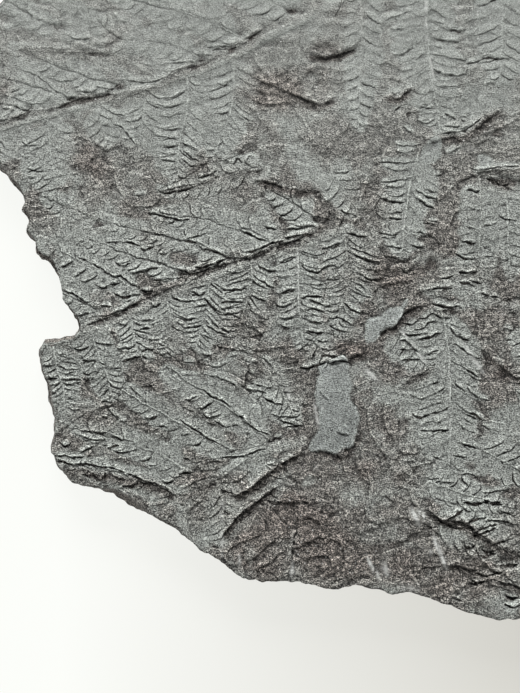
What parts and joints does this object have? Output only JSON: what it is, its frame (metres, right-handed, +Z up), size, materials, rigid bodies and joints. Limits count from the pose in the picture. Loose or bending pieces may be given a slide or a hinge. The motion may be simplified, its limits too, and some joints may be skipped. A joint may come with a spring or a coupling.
{
  "type": "fossil fern plate",
  "caption": "Broken slab of dark grey shale that lies flat, with overlapping fossil fern fronds in low relief on its upper face.",
  "frame": {"origin": "on the flat underside, under the middle of the plate's bounding box", "axes": "+Z up out of the face that carries the fronds, +Y along the plate's length towards its upper edge, +X across it to the right as the face is seen from above"},
  "size_m": [0.195, 0.216, 0.0141],
  "materials": {
    "shale": "matte"
  },
  "bodies": {
    "root": {"fern_plate": "shale"}
  },
  "joints": []
}
